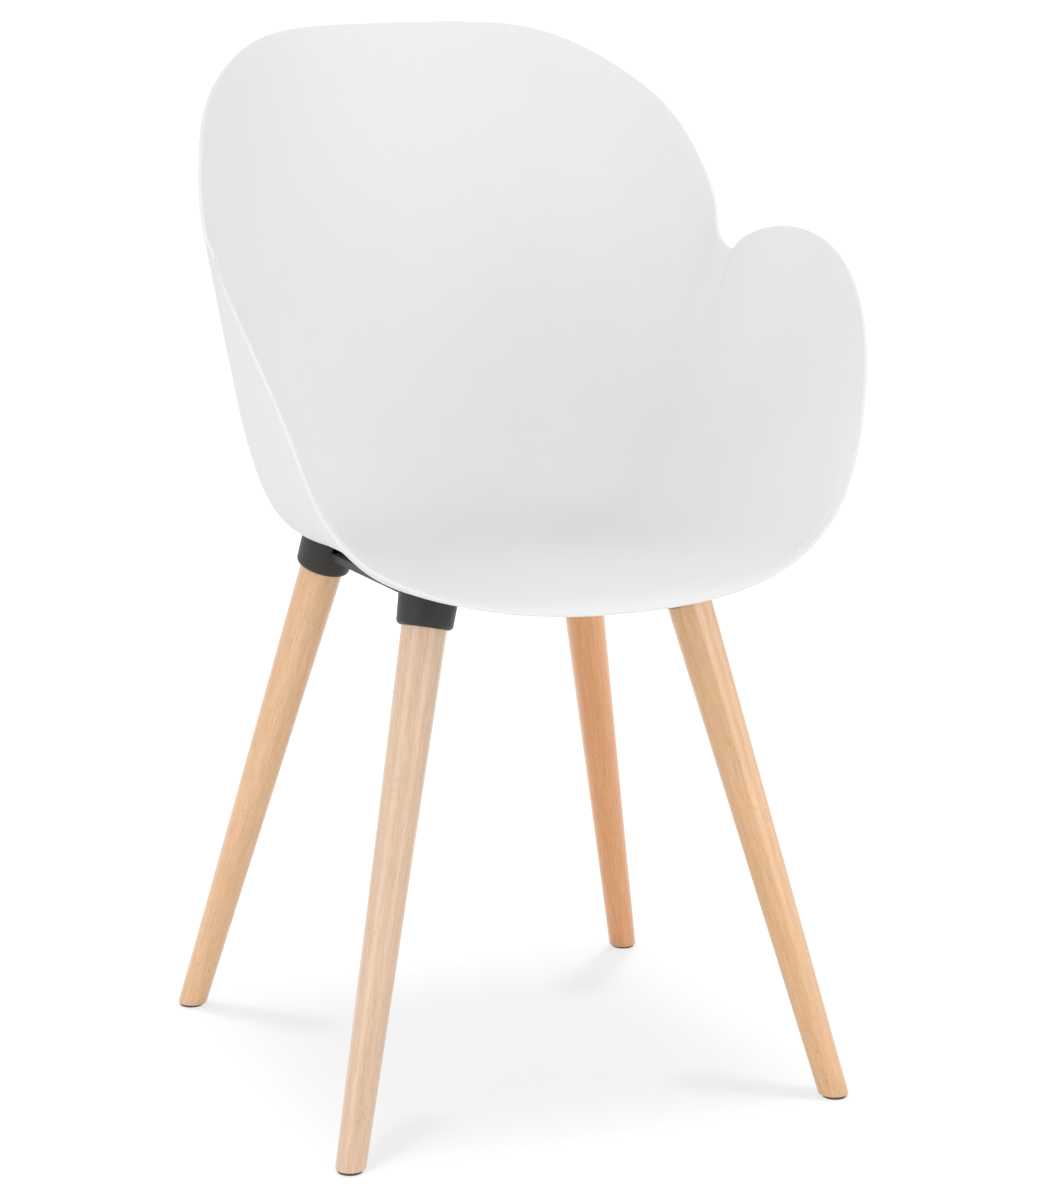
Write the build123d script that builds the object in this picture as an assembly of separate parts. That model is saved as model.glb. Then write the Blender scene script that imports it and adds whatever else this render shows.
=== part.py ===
from build123d import *
import os
import numpy as np

# A dining armchair: a one-piece moulded tub on four splayed, tapered wooden legs.
# Millimetres, +Z up, the front faces -Y, the sitter's left is +X, the floor is z = 0.

# Tub
SEAT_HEIGHT = 429.0          # middle of the wall at the seat centre
RIM_HALF_WIDTH = 260.0       # unit for the station widths below
RIM_HALF_DEPTH = 255.0       # unit for the station depths below
RIM_RISE = 408.0             # seat centre to the top of the back
WALL = 5.0
SEAT_RAKE = 5.0              # degrees, the seat falls towards the back
BACK_CORNER = 3.4            # how tightly the seat turns up into the back
FRONT_CORNER = 1.93          # how tightly it rolls over at the front edge
LIP_FLARE = 5.0              # outward turn of the arm rims
LIP_START = 0.88             # share of the way from seat centre to rim where the flare begins
NOTCH_START = 0.80           # share of that way where the notch between back and arm begins

# Stations along the rim from the middle of the back to the middle of the front, one half of the tub.
# Rim width, depth and rise, then width and depth of the floor corner below it, as shares of the units above.
STATIONS = {
    "back_centre": (0.000, 1.000, 1.000, 0.000, 0.761),
    "back_crown": (0.277, 0.961, 0.999, 0.192, 0.753),
    "back_shoulder": (0.510, 0.845, 0.978, 0.346, 0.722),
    "back_side": (0.708, 0.647, 0.901, 0.435, 0.671),
    "back_edge": (0.817, 0.443, 0.799, 0.515, 0.607),
    "waist": (0.862, 0.282, 0.658, 0.588, 0.524),
    "fold": (0.850, 0.235, 0.609, 0.621, 0.470),
    "tuck": (0.847, 0.192, 0.583, 0.641, 0.422),
    "notch": (0.862, 0.143, 0.566, 0.656, 0.373),
    "arm_rear": (0.871, 0.110, 0.584, 0.660, 0.331),
    "arm_crown": (0.927, -0.041, 0.624, 0.668, 0.250),
    "arm_top": (0.990, -0.282, 0.607, 0.692, 0.143),
    "arm_front": (0.983, -0.522, 0.505, 0.707, -0.150),
    "arm_sweep": (0.917, -0.686, 0.338, 0.713, -0.469),
    "front_corner": (0.788, -0.782, 0.145, 0.643, -0.757),
    "front_side": (0.441, -0.949, 0.041, 0.431, -0.878),
    "front_centre": (0.000, -1.000, 0.017, 0.000, -0.925),
}
POINTS_PER_STATION = 2
RING_SHARES = (0.045, 0.12, 0.19, 0.27, 0.34, 0.41, 0.49, 0.56, 0.63, 0.71, 0.78, 0.85, 0.93, 1.0)

# Legs: the axis runs from the foot on the floor to a point under the seat
FRONT_FOOT = (209.5, -204.5)
REAR_FOOT = (205.9, 208.5)
AXIS_TOP_DROP = 19.0         # seat centre down to that point
FRONT_AXIS_TOP = (112.0, -120.2)
REAR_AXIS_TOP = (114.0, 107.6)
FOOT_DIAMETER = 23.6
LEG_TOP_DIAMETER = 36.4      # at that point
FOOT_ROUND = 1.5
LEG_TOP_CHAMFER = 0.8

# Leg sockets
SOCKET_DROP = 25.0           # seat centre down to the lower end, on the leg axis
SOCKET_WALL = 4.3            # at the lower end
SOCKET_FLARE = 0.055         # growth of the radius per millimetre of length
SOCKET_LENGTH = 60.0         # before the top is trimmed to the tub
SOCKET_ROUND = 4.0
SOCKET_WEB = 2.0
LEG_CLEARANCE = 0.15
SHELL_CLEARANCE = 0.3        # socket top to tub
PAD_CLEARANCE = 0.5          # rail and pad to socket

# Steel under-frame, parallel to a plane that rises towards the front
FRAME_DROP = 7.4             # seat centre down to the middle of the rails
FRAME_LEVELLING = 2.5        # degrees, how much flatter than the seat it lies
RAIL_X = 108.0
RAIL_WIDTH = 18.0
RAIL_THICKNESS = 6.0
PAD_INSET = 2.2              # pad edge in from the edge of the leg below it
PAD_THICKNESS = 4.0
CROSS_WIDTH = 24.0
CROSS_THICKNESS = 4.0
CROSS_Y = {"front": -75.0, "rear": 62.0}

# Screws from the cross bars into the tub
SCREW_X = 62.0
SCREW_DIAMETER = 6.0
SCREW_HEAD_DIAMETER = 11.5
SCREW_HEAD_HEIGHT = 3.3
SCREW_END_GAP = 0.5          # tip short of the far end of the insert
SCREW_HOLE_CLEARANCE = 0.3
THREAD_CLEARANCE = 0.05
WASHER_MARGIN = 1.25         # beyond the screw head all round
WASHER_THICKNESS = 1.2
INSERT_WALL = 1.3
INSERT_LENGTH = 6.0
INSERT_END_GAP = 0.8
BOSS_WALL = 4.2              # around the insert
BOSS_REACH = 30.0            # before it is trimmed to the tub

# Bolts from the rail pads into the legs
BOLT_DIAMETER = 8.0
BOLT_HEAD_DIAMETER = 14.0
BOLT_HEAD_HEIGHT = 3.5
BOLT_END_GAP = 4.0           # tip short of the far end of the insert
BOLT_HOLE_CLEARANCE = 0.4
BOLT_WASHER_MARGIN = 2.0     # beyond the bolt head all round
BOLT_WASHER_THICKNESS = 1.5
LEG_INSERT_WALL = 2.0
LEG_INSERT_LENGTH = 20.0
LEG_INSERT_END_GAP = 6.0

# Foot glides and their nails
GLIDE_INSET = 1.8            # glide edge in from the edge of the foot
GLIDE_THICKNESS = 2.2
GLIDE_ROUND = 0.8
NAIL_DIAMETER = 2.2
NAIL_HEAD_DIAMETER = 5.0
NAIL_HEAD_HEIGHT = 1.0
NAIL_LENGTH = 20.0
NAIL_RECESS = 0.3
NAIL_HEAD_CLEARANCE = 0.25

# Sizes and heights that follow
AXIS_TOP_HEIGHT = SEAT_HEIGHT - AXIS_TOP_DROP
SOCKET_HEIGHT = SEAT_HEIGHT - SOCKET_DROP
FRAME_HEIGHT = SEAT_HEIGHT - FRAME_DROP
FRAME_RAKE = SEAT_RAKE - FRAME_LEVELLING
SOCKET_DIAMETER = LEG_TOP_DIAMETER + 2 * SOCKET_WALL
PAD_DIAMETER = LEG_TOP_DIAMETER - 2 * PAD_INSET
SCREW_REACH = INSERT_LENGTH - SCREW_END_GAP
WASHER_DIAMETER = SCREW_HEAD_DIAMETER + 2 * WASHER_MARGIN
INSERT_DIAMETER = SCREW_DIAMETER + 2 * INSERT_WALL
BOSS_DIAMETER = INSERT_DIAMETER + 2 * BOSS_WALL
BOLT_WASHER_DIAMETER = BOLT_HEAD_DIAMETER + 2 * BOLT_WASHER_MARGIN
LEG_INSERT_DIAMETER = BOLT_DIAMETER + 2 * LEG_INSERT_WALL
BOLT_REACH = LEG_INSERT_LENGTH - BOLT_END_GAP
GLIDE_DIAMETER = FOOT_DIAMETER - 2 * GLIDE_INSET

SIDES = ("left", "right")
ENDS = ("front", "rear")
UP = (Align.CENTER, Align.CENTER, Align.MIN)
DOWN = (Align.CENTER, Align.CENTER, Align.MAX)


def closed_curve(knots, values, at):
    """Closed cubic curve with continuous curvature through the values at the knots."""
    step = np.diff(knots)
    count = len(step)
    here = np.arange(count)
    after = (here + 1) % count
    before = np.roll(step, 1)
    slope = (values[after] - values) / step[:, None]
    system = np.zeros((count, count))
    system[here, here] = 2 * (before + step)
    system[here, here - 1] = before
    system[here, after] = step
    bend = np.linalg.solve(system, 6 * (slope - np.roll(slope, 1, axis=0)))
    k = np.clip(np.searchsorted(knots, at, "right") - 1, 0, count - 1)
    far = ((at - knots[k]) / step[k])[:, None]
    near = 1 - far
    straight = near * values[k] + far * values[after[k]]
    bow = (near**3 - near) * bend[k] + (far**3 - far) * bend[after[k]]
    return straight + bow * step[k][:, None] ** 2 / 6


def tub_stations():
    """Whole ring of stations: rim point, floor corner in plan, corner tightness and lip flare."""
    half = np.array(list(STATIONS.values()))
    count = len(half)
    names = list(STATIONS)
    number = np.arange(count)
    arm_start = names.index("arm_rear")
    arm_share = np.clip((number - arm_start) / (count - 1 - arm_start), 0, 1)
    flare = LIP_FLARE * np.sin(np.pi * arm_share) ** 2
    units = [RIM_HALF_WIDTH, RIM_HALF_DEPTH, RIM_RISE, RIM_HALF_WIDTH, RIM_HALF_DEPTH]
    half = half * units
    half[:, 2] += SEAT_HEIGHT
    chord = np.linalg.norm(np.diff(half[:, :3], axis=0), axis=1)
    knots = np.concatenate([[0], np.cumsum(np.sqrt(chord))])
    tight_span = knots[[names.index("fold"), names.index("arm_sweep")]]
    tightness = np.interp(knots, tight_span, [BACK_CORNER, FRONT_CORNER])
    half = np.column_stack([half, tightness, flare])
    other_half = half[-2:0:-1] * [-1, 1, 1, -1, 1, 1, 1]
    ring = np.vstack([half, other_half])
    chord = np.linalg.norm(np.roll(ring[:, :3], -1, axis=0) - ring[:, :3], axis=1)
    knots = np.concatenate([[0], np.cumsum(np.sqrt(chord))])
    return knots, ring


KNOTS, RING = tub_stations()


def ring_past_notch():
    """The rim ring without the stations of the notch and its sides, on both halves of the tub."""
    names = list(STATIONS)
    skipped = names[names.index("waist"):names.index("arm_crown")]
    numbers = [names.index(name) for name in skipped]
    numbers += [len(RING) - number for number in numbers]
    kept = np.setdiff1d(np.arange(len(RING)), numbers)
    return np.append(KNOTS[kept], KNOTS[-1]), RING[kept, :3]


SMOOTH_KNOTS, SMOOTH_RIM = ring_past_notch()


def tub_points(around, share):
    """Middle of the wall: a conic arc in each direction from seat centre past floor corner to rim.

    Well below the rim the arcs head for a smoother ring that passes the notch by.
    """
    station = closed_curve(KNOTS, RING, around)
    smooth_rim = closed_curve(SMOOTH_KNOTS, SMOOTH_RIM, around)
    reach = min(1, max(0, (share - NOTCH_START) / (1 - NOTCH_START)))
    rim = smooth_rim + (station[:, :3] - smooth_rim) * reach**2 * (3 - 2 * reach)
    corner_plan = station[:, 3:5]
    tightness = station[:, 5:6]
    flare = station[:, 6:7]
    centre = np.array([0, 0, SEAT_HEIGHT])
    fall = np.tan(np.radians(SEAT_RAKE))
    corner = np.column_stack([corner_plan, SEAT_HEIGHT - fall * corner_plan[:, 1]])
    outward = rim * [1, 1, 0]
    outward = outward / np.linalg.norm(outward, axis=1)[:, None]
    a = (1 - share) ** 2
    b = 2 * tightness * share * (1 - share)
    c = share**2
    arc = (a * centre + b * corner + c * (rim - outward * flare)) / (a + b + c)
    lip = max(0, (share - LIP_START) / (1 - LIP_START)) ** 2
    return arc + lip * flare * outward


def tub_frame(around, share):
    """Wall middle, direction towards the sitter and direction towards the rim."""
    small = 1e-3
    turn = small * KNOTS[-1]
    towards_rim = tub_points(around, share + small) - tub_points(around, share - small)
    ahead = tub_points((around + turn) % KNOTS[-1], share)
    behind = tub_points((around - turn) % KNOTS[-1], share)
    inward = np.cross(ahead - behind, towards_rim)
    inward = inward / np.linalg.norm(inward, axis=1)[:, None]
    towards_rim = towards_rim / np.linalg.norm(towards_rim, axis=1)[:, None]
    return tub_points(around, share), inward, towards_rim


def in_seat_plane(points):
    """The points moved into the plane of the seat through their middle."""
    rake = np.radians(SEAT_RAKE)
    normal = np.array([0, np.sin(rake), np.cos(rake)])
    return points - ((points - points.mean(axis=0)) @ normal)[:, None] * normal


def tub_solid(grow=0.0):
    """The tub wall as one solid, thickened on both faces by grow."""
    half = WALL / 2 + grow
    count = len(RING)
    number = np.arange(0, count, 1 / POINTS_PER_STATION)
    around = np.interp(number, np.arange(count + 1), KNOTS)
    spacing = [float(value) for value in around] + [float(KNOTS[-1])]

    def ring_wire(points):
        vectors = [Vector(*point) for point in points]
        return Wire([Edge.make_spline(vectors, periodic=True, parameters=spacing)])

    inner = []
    outer = []
    for ring_share in RING_SHARES:
        eased = ring_share**2 * (3 - 2 * ring_share)
        middle, inward, _ = tub_frame(around, eased)
        inside = middle + inward * half
        outside = middle - inward * half
        if ring_share == RING_SHARES[0]:
            inside = in_seat_plane(inside)
            outside = in_seat_plane(outside)
        inner.append(ring_wire(inside))
        outer.append(ring_wire(outside))
    middle, inward, towards_rim = tub_frame(around, 1.0)
    edge = []
    for angle in (45, 90, 135):
        turn = np.radians(angle)
        edge.append(ring_wire(middle + (inward * np.cos(turn) + towards_rim * np.sin(turn)) * half))
    faces = Shell.make_loft(inner).faces()
    faces += Shell.make_loft([inner[-1]] + edge + [outer[-1]]).faces()
    faces += Shell.make_loft(outer).faces()
    faces += [Face(inner[0]), Face(outer[0])]
    return Solid(Shell(faces))


def lowest(shape):
    """The lowest solid left after a cut."""
    return shape.solids().sort_by(Axis.Z)[0]


FRAME_UP = Vector(0, 0, 1).rotate(Axis.X, -FRAME_RAKE)
FRAME_PLANE = Plane(origin=(0, 0, FRAME_HEIGHT), x_dir=(1, 0, 0), z_dir=FRAME_UP)
CROSS_TOP = -RAIL_THICKNESS / 2
CROSS_UNDERSIDE = CROSS_TOP - CROSS_THICKNESS


def leg_axis(end):
    """Foot point and direction of a left leg."""
    foot = FRONT_FOOT if end == "front" else REAR_FOOT
    top = FRONT_AXIS_TOP if end == "front" else REAR_AXIS_TOP
    start = Vector(foot[0], foot[1], 0)
    return start, (Vector(top[0], top[1], AXIS_TOP_HEIGHT) - start).normalized()


def on_axis(end, distance):
    """Plane square to a left leg at a distance from its foot point."""
    start, direction = leg_axis(end)
    return Plane(origin=start + direction * distance, z_dir=direction)


def distance_at_height(end, height):
    """Distance along a left leg's axis to a height above the floor."""
    return height / leg_axis(end)[1].Z


def pad_distance(end):
    """Distance along a left leg's axis to the middle plane of the under-frame."""
    start, direction = leg_axis(end)
    return (FRAME_PLANE.origin - start).dot(FRAME_UP) / direction.dot(FRAME_UP)


def leg_top(end):
    """Distance along the axis to the top face of a leg, below pad and socket web."""
    return pad_distance(end) - PAD_THICKNESS / 2 - SOCKET_WEB


def leg_radius(end, distance):
    """Radius of the leg's taper at a distance from its foot point."""
    growth = (LEG_TOP_DIAMETER - FOOT_DIAMETER) / 2 / distance_at_height(end, AXIS_TOP_HEIGHT)
    return FOOT_DIAMETER / 2 + growth * distance


def leg_cone(end, start, stop, grow=0.0):
    """The leg's taper between two distances from its foot point, wider by grow."""
    low = leg_radius(end, start) + grow
    high = leg_radius(end, stop) + grow
    return on_axis(end, start) * Cone(low, high, stop - start, align=UP)


def rail_bar(end_gap=0.0, rise=0.0):
    """Left rail between its two pads, wider by end_gap all round and raised by rise."""
    front = FRAME_PLANE.to_local_coords(on_axis("front", pad_distance("front")).origin)
    rear = FRAME_PLANE.to_local_coords(on_axis("rear", pad_distance("rear")).origin)
    width = RAIL_WIDTH + 2 * end_gap
    height = RAIL_THICKNESS + 2 * end_gap + rise
    bar = Box(width, rear.Y - front.Y, height)
    return FRAME_PLANE * (Pos(RAIL_X, (rear.Y + front.Y) / 2, rise / 2) * bar)


def both_sides(left):
    """A left piece and its mirror image."""
    return [left, mirror(left, about=Plane.YZ)]


def make_rail():
    """Left rail: a flat bar with a round pad square to each leg, bored for the leg bolts."""
    rail = rail_bar()
    for end in ENDS:
        seat = on_axis(end, pad_distance(end))
        rail = rail + seat * Cylinder(PAD_DIAMETER / 2, PAD_THICKNESS)
    for end in ENDS:
        start = pad_distance(end)
        room = Cylinder(PAD_DIAMETER / 2, BOLT_HEAD_HEIGHT + RAIL_THICKNESS, align=UP)
        rail = rail - on_axis(end, start + PAD_THICKNESS / 2) * room
        under = Cylinder(PAD_DIAMETER / 2, RAIL_THICKNESS, align=DOWN)
        rail = rail - on_axis(end, start - PAD_THICKNESS / 2) * under
        bore = Cylinder(BOLT_DIAMETER / 2 + BOLT_HOLE_CLEARANCE, 2 * RAIL_THICKNESS)
        rail = rail - on_axis(end, start) * bore
    return rail.solids().sort_by(SortBy.VOLUME)[-1]


def make_cross_bar(end):
    """Flat bar welded under both rails, ending below their middles, with two screw holes."""
    bar = Box(2 * RAIL_X, CROSS_WIDTH, CROSS_THICKNESS, align=DOWN)
    hole = Cylinder(SCREW_DIAMETER / 2 + SCREW_HOLE_CLEARANCE, 3 * CROSS_THICKNESS)
    for x in (-SCREW_X, SCREW_X):
        bar = bar - Pos(x, 0, 0) * hole
    return FRAME_PLANE * (Pos(0, CROSS_Y[end], CROSS_TOP) * bar)


def at_screws(piece, height):
    """A copy of the piece on each screw axis at a height above the middle of the rails."""
    spots = [(x, y) for y in CROSS_Y.values() for x in (-SCREW_X, SCREW_X)]
    return [FRAME_PLANE * (Pos(x, y, height) * piece) for x, y in spots]


def make_shell():
    """Tub with four bosses that stand on the cross bars, each bored for an insert."""
    tub = tub_solid()
    shell = tub
    for boss in at_screws(Cylinder(BOSS_DIAMETER / 2, BOSS_REACH, align=UP), CROSS_TOP):
        shell = shell + lowest(boss - tub)
    bore = Cylinder(INSERT_DIAMETER / 2, INSERT_LENGTH + INSERT_END_GAP, align=UP)
    for hole in at_screws(bore, CROSS_TOP):
        shell = shell - hole
    return shell.solids().sort_by(SortBy.VOLUME)[-1]


def make_shell_insert():
    """Threaded brass bush."""
    bush = Cylinder(INSERT_DIAMETER / 2, INSERT_LENGTH, align=UP)
    return bush - Cylinder(SCREW_DIAMETER / 2 + THREAD_CLEARANCE, INSERT_LENGTH, align=UP)


def make_frame_washer():
    """Washer under a screw head."""
    washer = Cylinder(WASHER_DIAMETER / 2, WASHER_THICKNESS, align=DOWN)
    bore = Cylinder(SCREW_DIAMETER / 2 + SCREW_HOLE_CLEARANCE, WASHER_THICKNESS, align=DOWN)
    return washer - bore


def make_frame_screw():
    """Screw with its head below the washer and its shank reaching into the insert."""
    length = WASHER_THICKNESS + CROSS_THICKNESS + SCREW_REACH
    head = Cylinder(SCREW_HEAD_DIAMETER / 2, SCREW_HEAD_HEIGHT, align=DOWN)
    return head + Cylinder(SCREW_DIAMETER / 2, length, align=UP)


def make_leg(end):
    """Turned leg with a level foot and a bolt hole in the top."""
    leg = leg_cone(end, -FOOT_DIAMETER, leg_top(end))
    below_floor = Box(2 * LEG_TOP_DIAMETER, 2 * LEG_TOP_DIAMETER, 2 * LEG_TOP_DIAMETER, align=DOWN)
    start = leg_axis(end)[0]
    leg = leg - Pos(start.X, start.Y, GLIDE_THICKNESS) * below_floor
    leg = chamfer(leg.faces().sort_by(Axis.Z)[-1].edges(), LEG_TOP_CHAMFER)
    leg = fillet(leg.faces().sort_by(Axis.Z)[0].edges(), FOOT_ROUND)
    top = on_axis(end, leg_top(end))
    leg = leg - top * Cylinder(LEG_INSERT_DIAMETER / 2, LEG_INSERT_LENGTH, align=DOWN)
    drill = LEG_INSERT_LENGTH + LEG_INSERT_END_GAP
    leg = leg - top * Cylinder(BOLT_DIAMETER / 2, drill, align=DOWN)
    nail_hole = Cylinder(NAIL_DIAMETER / 2, NAIL_LENGTH, align=UP)
    return (leg - Pos(start.X, start.Y, NAIL_RECESS) * nail_hole).solid()


def make_socket(end, tub):
    """Flared collar with a web between leg and pad, slotted for the rail and trimmed to the tub."""
    start = distance_at_height(end, SOCKET_HEIGHT)
    low = SOCKET_DIAMETER / 2
    body = Cone(low, low + SOCKET_FLARE * SOCKET_LENGTH, SOCKET_LENGTH, align=UP)
    body = fillet(body.edges().sort_by(Axis.Z)[0], SOCKET_ROUND)
    socket = on_axis(end, start) * body
    socket = socket - leg_cone(end, start - SOCKET_ROUND, leg_top(end), LEG_CLEARANCE)
    pad_floor = on_axis(end, leg_top(end) + SOCKET_WEB)
    socket = socket - pad_floor * Cylinder(PAD_DIAMETER / 2 + PAD_CLEARANCE, SOCKET_LENGTH, align=UP)
    hole = Cylinder(BOLT_DIAMETER / 2 + BOLT_HOLE_CLEARANCE, 4 * SOCKET_WEB)
    socket = socket - on_axis(end, leg_top(end)) * hole
    socket = socket - rail_bar(PAD_CLEARANCE, SOCKET_LENGTH)
    return lowest(socket - tub)


def make_leg_insert(end):
    """Threaded bush in the top of a leg."""
    bush = Cylinder(LEG_INSERT_DIAMETER / 2, LEG_INSERT_LENGTH, align=DOWN)
    bore = Cylinder(BOLT_DIAMETER / 2 + THREAD_CLEARANCE, LEG_INSERT_LENGTH, align=DOWN)
    return on_axis(end, leg_top(end)) * (bush - bore)


def make_leg_washer(end):
    """Washer on a rail pad."""
    washer = Cylinder(BOLT_WASHER_DIAMETER / 2, BOLT_WASHER_THICKNESS, align=UP)
    bore = Cylinder(BOLT_DIAMETER / 2 + BOLT_HOLE_CLEARANCE, BOLT_WASHER_THICKNESS, align=UP)
    return on_axis(end, pad_distance(end) + PAD_THICKNESS / 2) * (washer - bore)


def make_leg_bolt(end):
    """Low-headed bolt from the washer down into the leg."""
    length = BOLT_WASHER_THICKNESS + PAD_THICKNESS + SOCKET_WEB + BOLT_REACH
    bolt = Cylinder(BOLT_HEAD_DIAMETER / 2, BOLT_HEAD_HEIGHT, align=UP)
    bolt = bolt + Cylinder(BOLT_DIAMETER / 2, length, align=DOWN)
    head_seat = pad_distance(end) + PAD_THICKNESS / 2 + BOLT_WASHER_THICKNESS
    return on_axis(end, head_seat) * bolt


def make_glide(end):
    """Round plastic glide with a recess for its nail head."""
    glide = Cylinder(GLIDE_DIAMETER / 2, GLIDE_THICKNESS, align=UP)
    glide = fillet(glide.edges().sort_by(Axis.Z)[0], GLIDE_ROUND)
    recess = NAIL_HEAD_HEIGHT + NAIL_RECESS
    glide = glide - Cylinder(NAIL_HEAD_DIAMETER / 2 + NAIL_HEAD_CLEARANCE, recess, align=UP)
    glide = glide - Cylinder(NAIL_DIAMETER / 2, GLIDE_THICKNESS, align=UP)
    start = leg_axis(end)[0]
    return Pos(start.X, start.Y, 0) * glide


def make_nail(end):
    """Nail through the glide into the foot."""
    nail = Cylinder(NAIL_HEAD_DIAMETER / 2, NAIL_HEAD_HEIGHT, align=UP)
    nail = nail + Cylinder(NAIL_DIAMETER / 2, NAIL_LENGTH, align=UP)
    start = leg_axis(end)[0]
    return Pos(start.X, start.Y, NAIL_RECESS) * nail


def group(pieces):
    """Separate solids under one name."""
    return Compound(children=[piece.solid() for piece in pieces])


def mirrored_group(maker):
    """All four of a small piece that sits at each leg."""
    pieces = []
    for end in ENDS:
        pieces += both_sides(maker(end))
    return group(pieces)


os.makedirs("parts", exist_ok=True)

export_step(make_shell(), "parts/seat_shell.step")
export_step(group(at_screws(make_shell_insert(), CROSS_TOP)), "parts/shell_inserts.step")
export_step(group(at_screws(make_frame_washer(), CROSS_UNDERSIDE)), "parts/frame_washers.step")
screw_seat = CROSS_UNDERSIDE - WASHER_THICKNESS
export_step(group(at_screws(make_frame_screw(), screw_seat)), "parts/frame_screws.step")

for side, rail in zip(SIDES, both_sides(make_rail())):
    export_step(rail, f"parts/frame_rail_{side}.step")

trim = tub_solid(SHELL_CLEARANCE)
for end in ENDS:
    export_step(make_cross_bar(end), f"parts/frame_cross_{end}.step")
    for side, leg in zip(SIDES, both_sides(make_leg(end))):
        export_step(leg, f"parts/leg_{end}_{side}.step")
    for side, socket in zip(SIDES, both_sides(make_socket(end, trim))):
        export_step(socket, f"parts/leg_socket_{end}_{side}.step")
    for side, glide in zip(SIDES, both_sides(make_glide(end))):
        export_step(glide, f"parts/foot_glide_{end}_{side}.step")

export_step(mirrored_group(make_leg_insert), "parts/leg_inserts.step")
export_step(mirrored_group(make_leg_washer), "parts/leg_washers.step")
export_step(mirrored_group(make_leg_bolt), "parts/leg_bolts.step")
export_step(mirrored_group(make_nail), "parts/glide_nails.step")
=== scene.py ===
import bpy
import numpy as np
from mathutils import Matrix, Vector


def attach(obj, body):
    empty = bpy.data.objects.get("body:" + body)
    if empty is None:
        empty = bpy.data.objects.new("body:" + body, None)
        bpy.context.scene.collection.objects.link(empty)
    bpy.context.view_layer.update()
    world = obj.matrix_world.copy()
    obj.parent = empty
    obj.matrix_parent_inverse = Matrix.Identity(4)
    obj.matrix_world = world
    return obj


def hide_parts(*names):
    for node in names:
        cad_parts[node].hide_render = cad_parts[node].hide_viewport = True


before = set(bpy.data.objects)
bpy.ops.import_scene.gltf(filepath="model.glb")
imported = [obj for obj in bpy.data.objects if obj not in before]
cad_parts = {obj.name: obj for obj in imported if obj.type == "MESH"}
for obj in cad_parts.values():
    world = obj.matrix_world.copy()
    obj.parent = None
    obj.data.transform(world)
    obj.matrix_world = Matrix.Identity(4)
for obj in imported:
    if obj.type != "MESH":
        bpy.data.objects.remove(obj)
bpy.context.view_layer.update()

# Seat shell. One satin white polypropylene moulding, even in its wall and thinner at the rim: the seat rolls
# over at the front, turns up into scooped arms and a tall round back, and folds softly where back meets bowl.
# Four bosses moulded under the seat stand on the steel frame and take its screws.
MM = 0.001
SEAT_HEIGHT = 429.0
RIM_HALF_WIDTH = 260.0
RIM_HALF_DEPTH = 255.0
RIM_RISE = 408.0
WALL = 5.0
SEAT_RAKE = 5.0
BACK_CORNER = 3.4
FRONT_CORNER = 1.93
LIP_FLARE = 5.0
LIP_START = 0.88
NOTCH_START = 0.80
WAIST, FOLD, ARM_REAR, ARM_SWEEP = 5, 6, 9, 13    # numbers of stations
SMALL = 1e-3                                 # step of the differences, as a share
rim_stations = np.array([                    # shares: rim across, along and up, floor corner across and along
    (0.000, 1.000, 1.000, 0.000, 0.761),     # middle of the back
    (0.277, 0.961, 0.999, 0.192, 0.753),
    (0.510, 0.845, 0.978, 0.346, 0.722),
    (0.708, 0.647, 0.901, 0.435, 0.671),
    (0.817, 0.443, 0.799, 0.515, 0.607),
    (0.862, 0.282, 0.658, 0.588, 0.524),     # waist
    (0.850, 0.235, 0.609, 0.621, 0.470),
    (0.847, 0.192, 0.583, 0.641, 0.422),
    (0.862, 0.143, 0.566, 0.656, 0.373),     # notch between back and arm
    (0.871, 0.110, 0.584, 0.660, 0.331),
    (0.927, -0.041, 0.624, 0.668, 0.250),
    (0.990, -0.282, 0.607, 0.692, 0.143),    # top of the arm
    (0.983, -0.522, 0.505, 0.707, -0.150),
    (0.917, -0.686, 0.338, 0.713, -0.469),
    (0.788, -0.782, 0.145, 0.643, -0.757),   # front corner
    (0.441, -0.949, 0.041, 0.431, -0.878),
    (0.000, -1.000, 0.017, 0.000, -0.925),   # middle of the front
])


def station_ring():
    """Both halves of the tub as one ring: rim point, floor corner in plan, corner tightness and lip flare.
    The knots grow with the square root of the distance between rim points, and the tightness falls
    evenly with them from the fold to the front of the arm."""
    count = len(rim_stations)
    number = np.arange(count)
    arm_share = np.clip((number - ARM_REAR) / (count - 1 - ARM_REAR), 0, 1)
    flare = LIP_FLARE * np.sin(np.pi * arm_share) ** 2
    units = [RIM_HALF_WIDTH, RIM_HALF_DEPTH, RIM_RISE, RIM_HALF_WIDTH, RIM_HALF_DEPTH]
    half = rim_stations * units
    half[:, 2] += SEAT_HEIGHT
    chord = np.linalg.norm(np.diff(half[:, :3], axis=0), axis=1)
    knot = np.concatenate([[0], np.cumsum(np.sqrt(chord))])
    tightness = np.interp(knot, knot[[FOLD, ARM_SWEEP]], [BACK_CORNER, FRONT_CORNER])
    half = np.column_stack([half, tightness, flare])
    ring = np.vstack([half, half[-2:0:-1] * [-1, 1, 1, -1, 1, 1, 1]])
    chord = np.linalg.norm(np.roll(ring[:, :3], -1, axis=0) - ring[:, :3], axis=1)
    return np.concatenate([[0], np.cumsum(np.sqrt(chord))]), ring


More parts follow.
